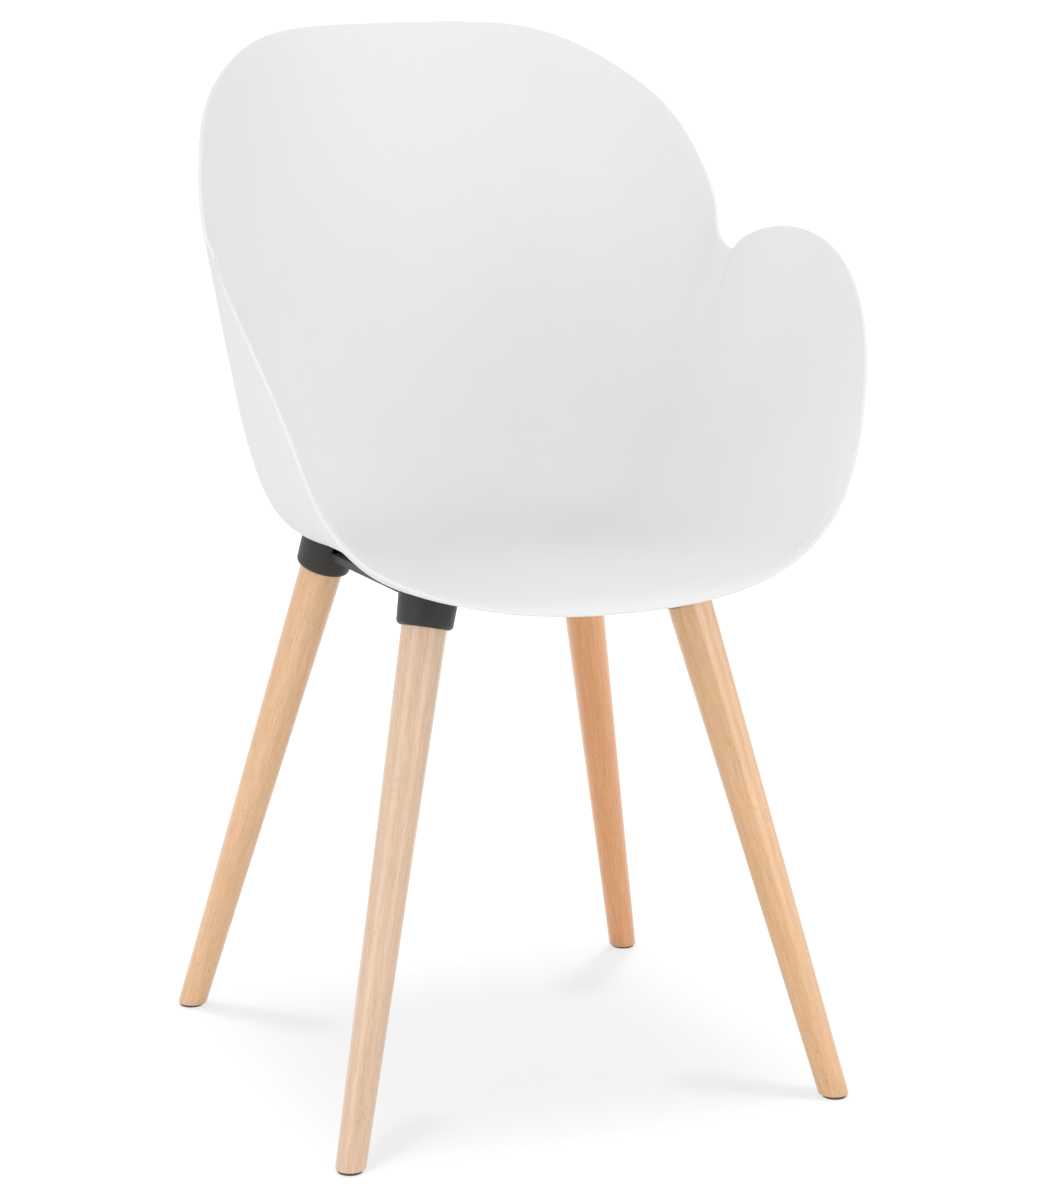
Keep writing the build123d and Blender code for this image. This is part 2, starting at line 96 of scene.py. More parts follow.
def closed_curve(knots, values, at):
    """Closed cubic curve with continuous curvature through the values at the knots: the second
    derivatives solve a cyclic three-term system, and each span is a straight line plus a cubic bow."""
    step = np.diff(knots)
    count = len(step)
    here = np.arange(count)
    after = (here + 1) % count
    before = np.roll(step, 1)
    slope = (values[after] - values) / step[:, None]
    system = np.zeros((count, count))
    system[here, here] = 2 * (before + step)
    system[here, here - 1] = before
    system[here, after] = step
    bend = np.linalg.solve(system, 6 * (slope - np.roll(slope, 1, axis=0)))
    k = np.clip(np.searchsorted(knots, at, "right") - 1, 0, count - 1)
    far = ((at - knots[k]) / step[k])[..., None]
    near = 1 - far
    straight = near * values[k] + far * values[after[k]]
    bow = (near**3 - near) * bend[k] + (far**3 - far) * bend[after[k]]
    return straight + bow * step[k][..., None] ** 2 / 6


knots, ring = station_ring()
past_notch = np.r_[:WAIST, ARM_REAR + 1:len(ring) - ARM_REAR, len(ring) - WAIST + 1:len(ring)]
knots_past_notch = np.append(knots[past_notch], knots[-1])


def wall_middle(around, share):
    """Middle of the wall: in each direction round the tub a conic arc from the seat centre, pulled towards
    the floor corner by its tightness, to the rim, with the last stretch turned out as a lip. Below the rim
    the arcs head for a smoother ring that passes the notch by."""
    around = np.mod(around, knots[-1])
    station = closed_curve(knots, ring, around)
    share = np.asarray(share)[..., None]
    smoother = closed_curve(knots_past_notch, ring[past_notch, :3], around)
    reach = np.clip((share - NOTCH_START) / (1 - NOTCH_START), 0, 1)
    rim = smoother + (station[..., :3] - smoother) * reach**2 * (3 - 2 * reach)
    corner_plan = station[..., 3:5]
    tightness = station[..., 5:6]
    flare = station[..., 6:7]
    centre = np.array([0, 0, SEAT_HEIGHT])
    fall = np.tan(np.radians(SEAT_RAKE))
    corner = np.concatenate([corner_plan, SEAT_HEIGHT - fall * corner_plan[..., 1:2]], axis=-1)
    outward = rim * [1, 1, 0]
    outward = outward / np.linalg.norm(outward, axis=-1)[..., None]
    a = (1 - share) ** 2
    b = 2 * tightness * share * (1 - share)
    c = share**2
    arc = (a * centre + b * corner + c * (rim - outward * flare)) / (a + b + c)
    lip = np.maximum(0, (share - LIP_START) / (1 - LIP_START)) ** 2
    return arc + lip * flare * outward


def wall_frame(around, share):
    """Middle of the wall, unit direction towards the sitter and unit direction towards the rim,
    from central differences both ways across the wall."""
    turn = SMALL * knots[-1]
    to_rim = wall_middle(around, share + SMALL) - wall_middle(around, share - SMALL)
    along = wall_middle(around + turn, share) - wall_middle(around - turn, share)
    inward = np.cross(along, to_rim)
    inward = inward / np.linalg.norm(inward, axis=-1)[..., None]
    to_rim = to_rim / np.linalg.norm(to_rim, axis=-1)[..., None]
    return wall_middle(around, share), inward, to_rim


COLUMNS = 320
ROWS_TO_FOLD = 72
ROWS_PAST_FOLD = 44
OUTER_ROWS = 84
RIM_STEPS = 9
FIRST_SHARE = 0.004
CROWDING = 0.6
RIM_THICKNESS = 3.0
TAPER_START = 0.93
FOLD_HEIGHT = 0.28
FOLD_HALF_WIDTH = 1.5
# Share of the way to the rim at which the fold crosses each station, and how plain it is there
fold_share = np.array([0.477, 0.504, 0.548, 0.620, 0.711, 0.799, 0.888, 0.955, 0.962, 0.960, 0.945, 0.915,
                       0.885, 0.855, 0.825, 0.805, 0.800])
fold_plain = np.array([1, 1, 1, 1, 1, 1, 1, 0.5, 0, 0, 0, 0, 0, 0, 0, 0, 0])
fold_offsets = np.array([-6.0, -4.0, -2.5, -1.6, -0.8, 0.0, 0.8, 1.6, 2.5, 4.0, 6.0])


def half_wall(share):
    """Half the thickness of the wall, easing from the full wall to the thinner rim over the last stretch."""
    late = np.clip((share - TAPER_START) / (1 - TAPER_START), 0, 1)
    return (WALL - (WALL - RIM_THICKNESS) * late**2 * (3 - 2 * late)) / 2


def shell_rows():
    """Rows round the tub from the seat centre up the inside, over the half-round rim and down the outside.
    Rows crowd at the fold, where a fine bead, its height times a bell curve, marks the start of the bowl."""
    number = np.arange(COLUMNS) * len(ring) / COLUMNS
    around = np.interp(number, np.arange(len(knots)), knots)
    half_ring = np.column_stack([fold_share, fold_plain])
    fold = closed_curve(knots, np.vstack([half_ring, half_ring[-2:0:-1]]), around)
    at_fold = fold[:, 0]
    plain = np.clip(fold[:, 1], 0, 1)
    crossed = wall_middle(around, at_fold + SMALL) - wall_middle(around, at_fold - SMALL)
    speed = np.linalg.norm(crossed, axis=-1) / (2 * SMALL)
    below = at_fold + fold_offsets[0] / speed
    above = at_fold + fold_offsets[-1] / speed
    climb = np.linspace(0, 1, ROWS_TO_FOLD)[:-1, None]
    climb = climb * (1 + CROWDING - CROWDING * climb)
    lower = FIRST_SHARE + (below - FIRST_SHARE) * climb
    crossing = at_fold + fold_offsets[:, None] / speed
    rise = np.linspace(0, 1, ROWS_PAST_FOLD)[1:, None]
    upper = above + (1 - above) * rise
    share = np.concatenate([lower, crossing, upper])
    middle, inward, _ = wall_frame(around[None, :], share)
    past = (share - at_fold) * speed
    bead = FOLD_HEIGHT * plain * np.exp(-(past / FOLD_HALF_WIDTH)**2)
    inside = middle + inward * (half_wall(share) + bead)[..., None]
    around = around[None, :]
    step = np.linspace(FIRST_SHARE**0.5, 1, OUTER_ROWS)
    share = (step**2 * (3 - 2 * step))[:, None]
    middle, inward, _ = wall_frame(around, share)
    outside = middle - inward * half_wall(share)[..., None]
    middle, inward, to_rim = wall_frame(around, np.ones((1, 1)))
    turn = np.linspace(0, np.pi, RIM_STEPS)[1:-1, None, None]
    edge = middle + (inward * np.cos(turn) + to_rim * np.sin(turn)) * RIM_THICKNESS / 2
    return np.concatenate([inside, edge, outside[::-1]])


def full_turn(columns):
    """Angles in equal steps once round, ending one step before the start."""
    return np.linspace(0, 2 * np.pi, columns + 1)[:-1]


def capped(rows):
    """Rows of a surface with the middle of its first and of its last row as the points that close it."""
    return rows, [rows[0].mean(axis=0), rows[-1].mean(axis=0)]


SHARP_EDGE = 38.0


def skin(name, surfaces):
    """Mesh object over one or more surfaces. Each is rows of points that run once round, in millimetres,
    closed by a fan of triangles to a point at each end, and turned so that its faces look outwards."""
    points = []
    faces = []
    start = 0
    for rows, ends in surfaces:
        count, across = rows.shape[:2]
        corners = np.concatenate([rows.reshape(-1, 3), np.asarray(ends, float)]) * MM
        number = np.arange(count * across).reshape(count, across)
        after = np.roll(number, -1, axis=1)
        quads = np.stack([number[:-1], after[:-1], after[1:], number[1:]], axis=-1).reshape(-1, 4)
        first = np.column_stack([after[0], number[0], np.full(across, count * across)])
        last = np.column_stack([number[-1], after[-1], np.full(across, count * across + 1)])
        triangles = np.concatenate([quads[:, :3], quads[:, [0, 2, 3]], first, last])
        a, b, c = corners[triangles].transpose(1, 0, 2)
        inside_out = np.sum(a * np.cross(b, c)) < 0
        for block in (quads, first, last):
            faces += ((block[:, ::-1] if inside_out else block) + start).tolist()
        points.append(corners)
        start += len(corners)
    mesh = bpy.data.meshes.new(name)
    mesh.from_pydata(np.concatenate(points).tolist(), [], faces)
    mesh.polygons.foreach_set("use_smooth", np.ones(len(mesh.polygons), bool))
    mesh.set_sharp_from_angle(angle=np.radians(SHARP_EDGE))
    made = bpy.data.objects.new(name, mesh)
    bpy.context.scene.collection.objects.link(made)
    return made


def node(tree, kind, inputs=None, **settings):
    """New shader node with its settings. An input given as a socket is linked, any other value is set."""
    made = tree.nodes.new(kind)
    for key, value in settings.items():
        setattr(made, key, value)
    for key, value in (inputs or {}).items():
        if isinstance(value, bpy.types.NodeSocket):
            tree.links.new(value, made.inputs[key])
        else:
            made.inputs[key].default_value = value
    return made


def new_group(name, inputs, outputs):
    """Empty shader node group with its sockets, and its own input and output nodes."""
    tree = bpy.data.node_groups.new(name, "ShaderNodeTree")
    for socket, kind in inputs.items():
        tree.interface.new_socket(socket, in_out="INPUT", socket_type=kind)
    for socket, kind in outputs.items():
        tree.interface.new_socket(socket, in_out="OUTPUT", socket_type=kind)
    return tree, tree.nodes.new("NodeGroupInput"), tree.nodes.new("NodeGroupOutput")


def moulded_grain():
    """Fine skin that a spark-finished tool or a powder coat leaves, and a broad cloudiness of tone."""
    tree, given, result = new_group(
        "moulded_grain",
        {"Vector": "NodeSocketVector", "Grain": "NodeSocketFloat", "Cloud": "NodeSocketFloat"},
        {"Height": "NodeSocketFloat", "Tone": "NodeSocketFloat"})
    fine = node(tree, "ShaderNodeTexNoise", {"Vector": given.outputs["Vector"],
                "Scale": given.outputs["Grain"], "Detail": 3.0, "Roughness": 0.6})
    broad = node(tree, "ShaderNodeTexNoise", {"Vector": given.outputs["Vector"],
                 "Scale": given.outputs["Cloud"], "Detail": 3.0, "Roughness": 0.55})
    tree.links.new(fine.outputs["Fac"], result.inputs["Height"])
    tree.links.new(broad.outputs["Fac"], result.inputs["Tone"])
    return tree


GRAIN = moulded_grain()
NOISE_LOW, NOISE_HIGH = 0.3, 0.7


def over_noise(tree, noise, low=0.0, high=1.0):
    """Value that goes from low to high as a noise goes from its usual lowest to its usual highest."""
    spread = node(tree, "ShaderNodeMapRange", {"Value": noise, "From Min": NOISE_LOW, "From Max": NOISE_HIGH,
                  "To Min": low, "To Max": high})
    return spread.outputs["Result"]


def blend(tree, share, first, second, **settings):
    """Colour between two others, by a share."""
    return node(tree, "ShaderNodeMix", {0: share, 6: first, 7: second}, data_type="RGBA", **settings).outputs[2]


def new_finish(name):
    """New material, with its node tree and its shader."""
    material = bpy.data.materials.new(name)
    material.use_nodes = True
    return material, material.node_tree, material.node_tree.nodes["Principled BSDF"]


def dress(tree, shader, colour, roughness, height, strength, depth):
    """Leads a colour, a roughness and a height, as a bump of a depth in millimetres, to the shader."""
    bump = node(tree, "ShaderNodeBump", {"Height": height, "Strength": strength, "Distance": depth * MM})
    tree.links.new(colour, shader.inputs["Base Color"])
    tree.links.new(roughness, shader.inputs["Roughness"])
    tree.links.new(bump.outputs["Normal"], shader.inputs["Normal"])


def moulded_finish(name, dark, light, smooth, rough, grain, cloud, depth, specular):
    """Material of a moulded or coated surface: tone between two colours and gloss between two values follow
    the cloudiness, and the fine skin is a shallow bump."""
    material, tree, shader = new_finish(name)
    shader.inputs["Specular IOR Level"].default_value = specular
    place = node(tree, "ShaderNodeTexCoord").outputs["Object"]
    surface = node(tree, "ShaderNodeGroup", {"Vector": place, "Grain": grain, "Cloud": cloud}, node_tree=GRAIN)
    cloudy = surface.outputs["Tone"]
    dress(tree, shader, blend(tree, cloudy, (*dark, 1), (*light, 1)), over_noise(tree, cloudy, smooth, rough),
          surface.outputs["Height"], 1.0, depth)
    return material


FRAME_DROP = 7.4
FRAME_LEVELLING = 2.5
CROSS_Y = (-75.0, 62.0)
SCREW_X = 62.0
RAIL_THICKNESS = 6.0
BOSS_RADIUS = 8.5
BOSS_COLUMNS = 48
frame_lean = np.radians(SEAT_RAKE - FRAME_LEVELLING)
frame_right = np.array([1.0, 0, 0])
frame_rear = np.array([0, np.cos(frame_lean), -np.sin(frame_lean)])
frame_up = np.array([0, np.sin(frame_lean), np.cos(frame_lean)])
frame_middle = np.array([0, 0, SEAT_HEIGHT - FRAME_DROP])
screw_spots = [(x, y) for y in CROSS_Y for x in (-SCREW_X, SCREW_X)]


def on_frame(x, y, z):
    """Point at a place across, along and above the middle plane of the steel frame."""
    return frame_middle + np.multiply.outer(x, frame_right) + np.multiply.outer(y, frame_rear) \
        + np.multiply.outer(z, frame_up)


NET_COLUMNS = 96
NET_ROWS = 39
NET_SHARES = (0.03, 0.6)
NEWTON_STEPS = 10


def reach_wall(start, direction, offset):
    """Distance from each start point along its direction to the surface at an offset from the middle of
    the wall: Newton's method on the two surface parameters and the distance, from the nearest net point."""
    net_around, net_share = np.meshgrid(np.linspace(0, knots[-1], NET_COLUMNS + 1)[:-1],
                                        np.linspace(*NET_SHARES, NET_ROWS))
    net_around = net_around.ravel()
    net_share = net_share.ravel()
    away = wall_middle(net_around, net_share)[None] - start[:, None]
    along = np.einsum("nmk,nk->nm", away, direction)
    nearest = np.linalg.norm(away - along[..., None] * direction[:, None], axis=-1).argmin(axis=1)
    found = np.column_stack([net_around[nearest], net_share[nearest], along[np.arange(len(start)), nearest]])
    small = np.array([SMALL * knots[-1], SMALL, 1.0])

    def miss(around, share, distance):
        middle, inward, _ = wall_frame(around, share)
        return middle + inward * offset - start - distance[:, None] * direction

    for _ in range(NEWTON_STEPS):
        slopes = [(miss(*(found + small * one).T) - miss(*(found - small * one).T)) for one in np.eye(3)]
        slopes = np.stack(slopes, axis=-1) / (2 * small)
        found = found - np.linalg.solve(slopes, miss(*found.T)[..., None])[..., 0]
    return found[:, 2]


def boss_rows(x, y):
    """A boss as a round column from the top of a cross bar to the middle of the wall above it."""
    turn = full_turn(BOSS_COLUMNS)
    foot = on_frame(x + BOSS_RADIUS * np.cos(turn), y + BOSS_RADIUS * np.sin(turn),
                    np.full_like(turn, -RAIL_THICKNESS / 2))
    rise = reach_wall(foot, np.broadcast_to(frame_up, foot.shape), 0.0)
    return np.stack([foot, foot + rise[:, None] * frame_up])


shell_finish = moulded_finish(
    "satin_white_polypropylene", (0.797, 0.79, 0.79), (0.827, 0.82, 0.82),
    smooth=0.55, rough=0.63, grain=1600.0, cloud=9.0, depth=0.02, specular=0.35)
shell = skin("tub_shell", [capped(shell_rows())] + [capped(boss_rows(x, y)) for x, y in screw_spots])
shell.data.materials.append(shell_finish)
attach(shell, "root")
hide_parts("seat_shell")


# Brass inserts. Threaded bushes pressed into the bosses of the shell and into the tops of the legs.
# Plain machined brass, a little dulled, out of sight once the chair is together.
def machined_metal():
    """Fine turning marks and dull patches of a machined or plated metal."""
    tree, given, result = new_group(
        "machined_metal", {"Vector": "NodeSocketVector"},
        {"Mark": "NodeSocketFloat", "Dull": "NodeSocketFloat"})
    place = given.outputs["Vector"]
    mark = node(tree, "ShaderNodeTexNoise", {"Vector": place, "Scale": 2600.0, "Detail": 2.0})
    dull = node(tree, "ShaderNodeTexNoise", {"Vector": place, "Scale": 220.0, "Detail": 4.0})
    tree.links.new(mark.outputs["Fac"], result.inputs["Mark"])
    tree.links.new(dull.outputs["Fac"], result.inputs["Dull"])
    return tree


METAL = machined_metal()
MARK_STRENGTH = 0.5
MARK_DEPTH = 0.02


def metal_finish(name, dark, light, smooth, rough):
    """Metal whose tone and gloss follow its dull patches, with fine turning marks as a bump."""
    material, tree, shader = new_finish(name)
    shader.inputs["Metallic"].default_value = 1.0
    place = node(tree, "ShaderNodeTexCoord").outputs["Object"]
    marks = node(tree, "ShaderNodeGroup", {"Vector": place}, node_tree=METAL)
    dull = marks.outputs["Dull"]
    dress(tree, shader, blend(tree, dull, (*light, 1), (*dark, 1)), over_noise(tree, dull, smooth, rough),
          marks.outputs["Mark"], MARK_STRENGTH, MARK_DEPTH)
    return material


def refinish(material, *names):
    """Gives the pieces that keep their own shape a new finish."""
    for name in names:
        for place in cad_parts[name].material_slots:
            place.material = material


refinish(metal_finish("dulled_brass", (0.42, 0.29, 0.11), (0.62, 0.45, 0.19), 0.28, 0.42),
         "shell_inserts", "leg_inserts")

# Steel frame. Two flat rails run front to back with a round pad at each end for the leg bolts, and two flat
# cross bars, welded under their middles, are screwed up into the shell. Cut from bar, powder coated black.
RAIL_X = 108.0
RAIL_WIDTH = 18.0
CROSS_WIDTH = 24.0
WELD_RADIUS = 2.4
WELD_RIPPLE = 0.3
WELD_STEP = 1.7
WELD_END = 2.0
WELD_ROWS = 56
WELD_COLUMNS = 16


def weld_rows(x, y):
    """A weld bead: a round section carried along the rail, swelling at each ripple and closing at the ends."""
    half = CROSS_WIDTH / 2 - WELD_END
    place = np.linspace(-half, half, WELD_ROWS)[:, None]
    turn = full_turn(WELD_COLUMNS)
    closing = np.sqrt(np.clip(1 - (place / (half + WELD_RIPPLE)) ** 8, 0, 1))
    radius = closing * (WELD_RADIUS + WELD_RIPPLE * np.abs(np.sin(np.pi * place / WELD_STEP)))
    across = x + radius * np.cos(turn)
    above = -RAIL_THICKNESS / 2 + radius * np.sin(turn)
    return on_frame(across, y + place + 0 * turn, above)


frame_finish = moulded_finish(
    "black_powder_coat", (0.022, 0.022, 0.023), (0.032, 0.032, 0.033),
    smooth=0.42, rough=0.55, grain=900.0, cloud=14.0, depth=0.05, specular=0.5)
refinish(frame_finish, "frame_rail_left", "frame_rail_right", "frame_cross_front", "frame_cross_rear")
weld_lines = [(side * x, y) for side in (-1, 1) for x in (RAIL_X, RAIL_X - RAIL_WIDTH / 2) for y in CROSS_Y]
welds = skin("frame_welds", [capped(weld_rows(x, y)) for x, y in weld_lines])
welds.data.materials.append(frame_finish)
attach(welds, "root")

# Frame screws and washers. Zinc plated button-head screws with a hexagon socket, driven up through the
# cross bars into the brass inserts, each on a plain stamped washer.
CROSS_THICKNESS = 4.0
WASHER_THICKNESS = 1.2
SCREW_RADIUS = 3.0
SCREW_LENGTH = 10.7
HEAD_RADIUS = 5.75
HEAD_HEIGHT = 3.3
HEX_ACROSS = 4.0
HEX_DEPTH = 2.0
HEX_CHAMFER = 0.2
BUTTON_FLAT = 3.0
TIP_CHAMFER = 0.6
SCREW_COLUMNS = 48
screw_profile = np.array([                      # radius, depth below the washer, 1 where it is a hexagon
    (HEX_ACROSS / 2, HEAD_HEIGHT - HEX_DEPTH, 1),
    (HEX_ACROSS / 2, HEAD_HEIGHT - HEX_CHAMFER, 1),
    (HEX_ACROSS / 2 + HEX_CHAMFER, HEAD_HEIGHT, 1),
    (BUTTON_FLAT, HEAD_HEIGHT, 0),
    (0.80 * HEAD_RADIUS, 0.80 * HEAD_HEIGHT, 0),
    (0.94 * HEAD_RADIUS, 0.52 * HEAD_HEIGHT, 0),
    (HEAD_RADIUS, 0.15 * HEAD_HEIGHT, 0),
    (0.98 * HEAD_RADIUS, 0.0, 0),
    (SCREW_RADIUS, 0.0, 0),
    (SCREW_RADIUS, TIP_CHAMFER - SCREW_LENGTH, 0),
    (SCREW_RADIUS - TIP_CHAMFER, -SCREW_LENGTH, 0),
])


def screw_rows(x, y):
    """A screw turned from its profile, with the radius in the key socket drawn out to a hexagon."""
    turn = full_turn(SCREW_COLUMNS)
    hexagon = 1 / np.cos(np.mod(turn, np.pi / 3) - np.pi / 6)
    radius = screw_profile[:, :1] * np.where(screw_profile[:, 2:] == 1, hexagon, 1.0)
    seat = -RAIL_THICKNESS / 2 - CROSS_THICKNESS - WASHER_THICKNESS
    return on_frame(x + radius * np.cos(turn), y + radius * np.sin(turn),
                    seat - screw_profile[:, 1:2] + 0 * turn)


zinc = metal_finish("zinc_plate", (0.36, 0.37, 0.39), (0.58, 0.59, 0.61), 0.28, 0.42)
screws = skin("button_head_screws", [capped(screw_rows(x, y)) for x, y in screw_spots])
screws.data.materials.append(zinc)
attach(screws, "root")
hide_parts("frame_screws")
refinish(zinc, "frame_washers")

# Legs. Four turned beech legs that taper straight to the foot and splay outwards to each corner, cut level
# at the floor and clear lacquered. Each is turned from its own blank, so the figure differs a little. The tone
# of each leg is partly the wood and partly painted light: the rear legs are darker and more orange as painted
# shade, and the front right leg is paler as a painted reflection in its lacquer.
AXIS_TOP_DROP = 19.0
FRONT_FOOT = (209.5, -204.5)
REAR_FOOT = (205.9, 208.5)
FRONT_AXIS_TOP = (112.0, -120.2)
REAR_AXIS_TOP = (114.0, 107.6)
FOOT_RADIUS = 11.8
LEG_TOP_RADIUS = 18.2
FOOT_ROUND = 1.5
LEG_TOP_CHAMFER = 0.8
LEG_ROWS = 26
LEG_COLUMNS = 96
FOOT_ROWS = 7
GLIDE_THICKNESS = 2.2
PAD_THICKNESS = 4.0
SOCKET_WEB = 2.0
SIDES = {"left": 1, "right": -1}
ENDS = ("front", "rear")


def leg_axis(end, side):
    """Foot point, unit direction up the leg, two unit directions across it, and distance to the axis top."""
    foot, top = (FRONT_FOOT, FRONT_AXIS_TOP) if end == "front" else (REAR_FOOT, REAR_AXIS_TOP)
    start = np.array([SIDES[side] * foot[0], foot[1], 0.0])
    climb = np.array([SIDES[side] * top[0], top[1], SEAT_HEIGHT - AXIS_TOP_DROP]) - start
    up = climb / np.linalg.norm(climb)
    across = np.cross([0.0, 1.0, 0.0], up)
    across = across / np.linalg.norm(across)
    return start, up, across, np.cross(up, across), np.linalg.norm(climb)


def pad_distance(end, side):
    """Distance along the leg's axis to the middle plane of the steel frame."""
    start, up, *_ = leg_axis(end, side)
    return (frame_middle - start) @ frame_up / (up @ frame_up)


def leg_rows(end, side):
    """A taper carried up the leg's axis: each line of the taper starts where it meets the level foot, which is
    rounded by a parabola between the foot face and the side, and ends at a small chamfer."""
    start, up, across, other, length = leg_axis(end, side)
    turn = full_turn(LEG_COLUMNS)[None, :]
    radial = across * np.cos(turn)[..., None] + other * np.sin(turn)[..., None]
    growth = (LEG_TOP_RADIUS - FOOT_RADIUS) / length
    lean = radial[..., 2]
    lowest = (GLIDE_THICKNESS - FOOT_RADIUS * lean) / (up[2] + growth * lean)
    top = pad_distance(end, side) - PAD_THICKNESS / 2 - SOCKET_WEB

    def on_side(distance, inset=0.0):
        radius = FOOT_RADIUS + growth * distance - inset
        return start + distance[..., None] * up + radius[..., None] * radial

    corner = on_side(lowest)
    middle = start + up * GLIDE_THICKNESS / up[2]
    inward = middle - corner
    face = corner + inward * FOOT_ROUND / np.linalg.norm(inward, axis=-1)[..., None]
    side_line = on_side(lowest + FOOT_ROUND)
    step = np.linspace(0, 1, FOOT_ROWS)[:, None, None]
    rounded = (1 - step) ** 2 * face + 2 * step * (1 - step) * corner + step**2 * side_line
    climb = np.linspace(0, 1, LEG_ROWS)[1:, None]
    wall = on_side((lowest + FOOT_ROUND) * (1 - climb) + (top - LEG_TOP_CHAMFER) * climb)
    chamfer = on_side(np.full_like(lowest, top), LEG_TOP_CHAMFER)
    return np.concatenate([rounded, wall, chamfer]), [middle, start + up * top]


def beech_figure():
    """Beech in leg coordinates, long way up the leg: broad streaks of tone, fine grain lines and the short
    dark ray flecks, each a noise or a cell pattern drawn out along the grain."""
    tree, given, result = new_group(
        "beech_figure", {"Vector": "NodeSocketVector"},
        {"Streak": "NodeSocketFloat", "Line": "NodeSocketFloat", "Fleck": "NodeSocketFloat"})

    def drawn_out(across, along):
        return node(tree, "ShaderNodeMapping", {"Vector": given.outputs["Vector"],
                    "Scale": (across, across, along)}).outputs["Vector"]

    streak = node(tree, "ShaderNodeTexNoise", {"Vector": drawn_out(95.0, 5.0), "Scale": 1.0,
                  "Detail": 3.0, "Roughness": 0.5, "Distortion": 0.4})
    line = node(tree, "ShaderNodeTexNoise", {"Vector": drawn_out(800.0, 40.0), "Scale": 1.0,
                "Detail": 3.0, "Roughness": 0.6})
    cells = node(tree, "ShaderNodeTexVoronoi", {"Vector": drawn_out(620.0, 140.0), "Scale": 1.0,
                 "Randomness": 1.0}, feature="F1")
    patch = node(tree, "ShaderNodeTexNoise", {"Vector": drawn_out(160.0, 60.0), "Scale": 1.0, "Detail": 1.0})
    mark = node(tree, "ShaderNodeMapRange", {"Value": cells.outputs["Distance"], "From Min": 0.14,
                "From Max": 0.32, "To Min": 1.0, "To Max": 0.0}, interpolation_type="SMOOTHSTEP")
    where = node(tree, "ShaderNodeMapRange", {"Value": patch.outputs["Fac"], "From Min": 0.38,
                 "From Max": 0.66})
    fleck = node(tree, "ShaderNodeMath", {0: mark.outputs["Result"], 1: where.outputs["Result"]},
                 operation="MULTIPLY")
    tree.links.new(streak.outputs["Fac"], result.inputs["Streak"])
    tree.links.new(line.outputs["Fac"], result.inputs["Line"])
    tree.links.new(fleck.outputs["Value"], result.inputs["Fleck"])
    return tree


BEECH = beech_figure()
LINE_SHADE = (0.87, 1.09)
LINE_GLOSS = (0.36, 0.46)
FLECK_SHARE = 0.5
GRAIN_STRENGTH = 0.6
GRAIN_DEPTH = 0.03


def beech_finish(name, light, dark, fleck_colour):
    """Clear lacquered beech: streaks between a light and a dark tone, shaded by fine lines, with flecks."""
    material, tree, shader = new_finish(name)
    shader.inputs["Specular IOR Level"].default_value = 0.5
    shader.inputs["Coat Weight"].default_value = 0.8
    shader.inputs["Coat Roughness"].default_value = 0.08
    place = node(tree, "ShaderNodeAttribute", attribute_name="grain").outputs["Vector"]
    figure = node(tree, "ShaderNodeGroup", {"Vector": place}, node_tree=BEECH)
    line = figure.outputs["Line"]
    fleck = figure.outputs["Fleck"]
    tone = blend(tree, over_noise(tree, figure.outputs["Streak"]), (*light, 1), (*dark, 1))
    lined = blend(tree, 1.0, tone, over_noise(tree, line, *LINE_SHADE), blend_type="MULTIPLY")
    depth = node(tree, "ShaderNodeMath", {0: fleck, 1: FLECK_SHARE}, operation="MULTIPLY")
    relief = node(tree, "ShaderNodeMath", {0: line, 1: fleck}, operation="SUBTRACT")
    dress(tree, shader, blend(tree, depth.outputs["Value"], lined, (*fleck_colour, 1)),
          over_noise(tree, line, *LINE_GLOSS), relief.outputs["Value"], GRAIN_STRENGTH, GRAIN_DEPTH)
    return material


# Each leg's tones hold painted light as well as the wood: the rear legs darker and more orange as painted
# shade, the front right leg paler as a painted reflection.
beech_tones_with_painted_light = {                                 # light streak, dark streak, fleck
    ("front", "left"): ((0.74, 0.44, 0.23), (0.67, 0.375, 0.17), (0.41, 0.20, 0.08)),
    ("front", "right"): ((0.72, 0.51, 0.35), (0.66, 0.44, 0.29), (0.44, 0.25, 0.14)),
    ("rear", "left"): ((0.79, 0.38, 0.16), (0.71, 0.32, 0.12), (0.40, 0.19, 0.09)),
    ("rear", "right"): ((0.79, 0.49, 0.27), (0.71, 0.41, 0.21), (0.42, 0.22, 0.10)),
}
BLANK_STEP = np.array([0.13, 0.07, 0.61])       # from one leg to the next in the timber
legs = {}
for number, ((end, side), tones) in enumerate(beech_tones_with_painted_light.items()):
    leg = skin(f"beech_leg_{end}_{side}", [leg_rows(end, side)])
    legs[end, side] = leg
    start, up, across, other, _ = leg_axis(end, side)
    points = np.empty(3 * len(leg.data.vertices), np.float32)
    leg.data.vertices.foreach_get("co", points)
    grain = (points.reshape(-1, 3) - start * MM) @ np.column_stack([across, other, up]) + number * BLANK_STEP
    leg.data.attributes.new("grain", "FLOAT_VECTOR", "POINT").data.foreach_set("vector", grain.ravel())
    leg.data.materials.append(beech_finish(f"lacquered_beech_{end}_{side}", *tones))
    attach(leg, "root")
    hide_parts(f"leg_{end}_{side}")

# Leg sockets. Satin charcoal plastic collars between the legs and the shell: a flared cup over the top of
# each leg, with a web that the rail's pad clamps, a slot where the rail passes, and a rim shaped to the shell.
SOCKET_DROP = 25.0
SOCKET_WALL = 4.3
SOCKET_FLARE = 0.055
SOCKET_ROUND = 4.0
LEG_CLEARANCE = 0.15
SHELL_CLEARANCE = 0.3
PAD_CLEARANCE = 0.5
PAD_RADIUS = 16.0
BORE_LEAD = 1.0
LEAST_RISE = 0.01
SOCKET_COLUMNS = 160
SOCKET_ROWS = 14
SOCKET_BEND_ROWS = 7


